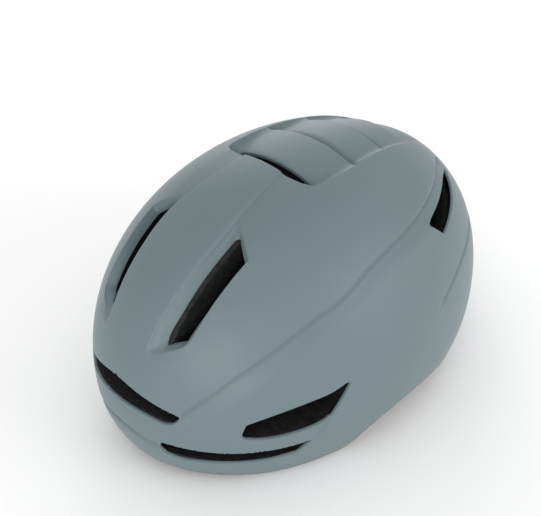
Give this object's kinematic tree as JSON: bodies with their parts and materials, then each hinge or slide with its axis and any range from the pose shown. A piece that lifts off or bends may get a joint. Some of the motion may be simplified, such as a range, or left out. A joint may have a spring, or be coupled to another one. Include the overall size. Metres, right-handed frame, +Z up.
{
  "type": "cycling helmet",
  "caption": "Aero road cycling helmet: vented in-moulded shell over bead foam, dial-adjusted retention cradle, padded lining and buckled chin straps.",
  "frame": {"origin": "bottom centre of the helmet, on the surface that it stands on", "axes": "+Z up, the front of the helmet faces -Y, +X is the wearer's left"},
  "size_m": [0.208, 0.302, 0.1621],
  "materials": {
    "shell": "soft matt slate blue paint on a moulded skin",
    "foam": "black expanded bead foam",
    "trim": "dark moulded edge",
    "pad": "black brushed knit over foam",
    "hook": "black hook tape",
    "retention": "black nylon",
    "knob": "black rubberised grip",
    "steel": "zinc plated",
    "hardware": "black acetal",
    "webbing": "black woven polyester webbing"
  },
  "bodies": {
    "helmet": {"outer_shell": "shell", "eps_liner": "foam", "rim_trim": "trim", "brow_pad": "pad", "crown_pad_left": "pad", "crown_pad_right": "pad", "hook_patches": "hook", "temple_pin_left": "retention", "temple_pin_right": "retention", "height_guide": "retention", "front_strap_anchors": "hardware", "rear_strap_anchors": "hardware", "front_strap_left": "webbing", "front_strap_right": "webbing", "rear_strap_left": "webbing", "rear_strap_right": "webbing", "strap_divider_left": "hardware", "strap_divider_right": "hardware", "chin_strap_left": "webbing", "chin_strap_right": "webbing", "chin_pad": "pad", "buckle_socket": "hardware"},
    "cradle": {"dial_housing": "retention", "dial_cover": "retention", "nape_pad_left": "pad", "nape_pad_right": "pad"},
    "band_left": {"side_band_left": "retention"},
    "band_right": {"side_band_right": "retention"},
    "dial": {"pinion": "retention", "dial_knob": "knob", "dial_screw": "steel"},
    "plug": {"buckle_plug": "hardware"}
  },
  "joints": [
    {"name": "cradle_tilt", "type": "hinge", "parent": "helmet", "child": "cradle", "pos_m": [0, -0.06, 0.056], "axis": [1, 0, 0], "range_deg": [-3, 6]},
    {"name": "dial_turn", "type": "hinge", "parent": "cradle", "child": "dial", "pos_m": [0, 0.08868, 0.0244], "axis": [0, 0.9781, -0.2079], "range_deg": [0, 72]},
    {"name": "band_left_slide", "type": "slide", "parent": "cradle", "child": "band_left", "axis": [-1, 0, 0], "range_m": [0, 0.005]},
    {"name": "band_right_slide", "type": "slide", "parent": "cradle", "child": "band_right", "axis": [1, 0, 0], "range_m": [0, 0.005]},
    {"name": "buckle_release", "type": "slide", "parent": "helmet", "child": "plug", "axis": [1, 0, 0], "range_m": [0, 0.024], "deforming": ["chin_strap_left"]}
  ],
  "couplings": [
    {"joint": "dial_turn", "follows": "band_left_slide", "rad_per_m": 250},
    {"joint": "band_right_slide", "follows": "band_left_slide", "ratio": 1}
  ]
}
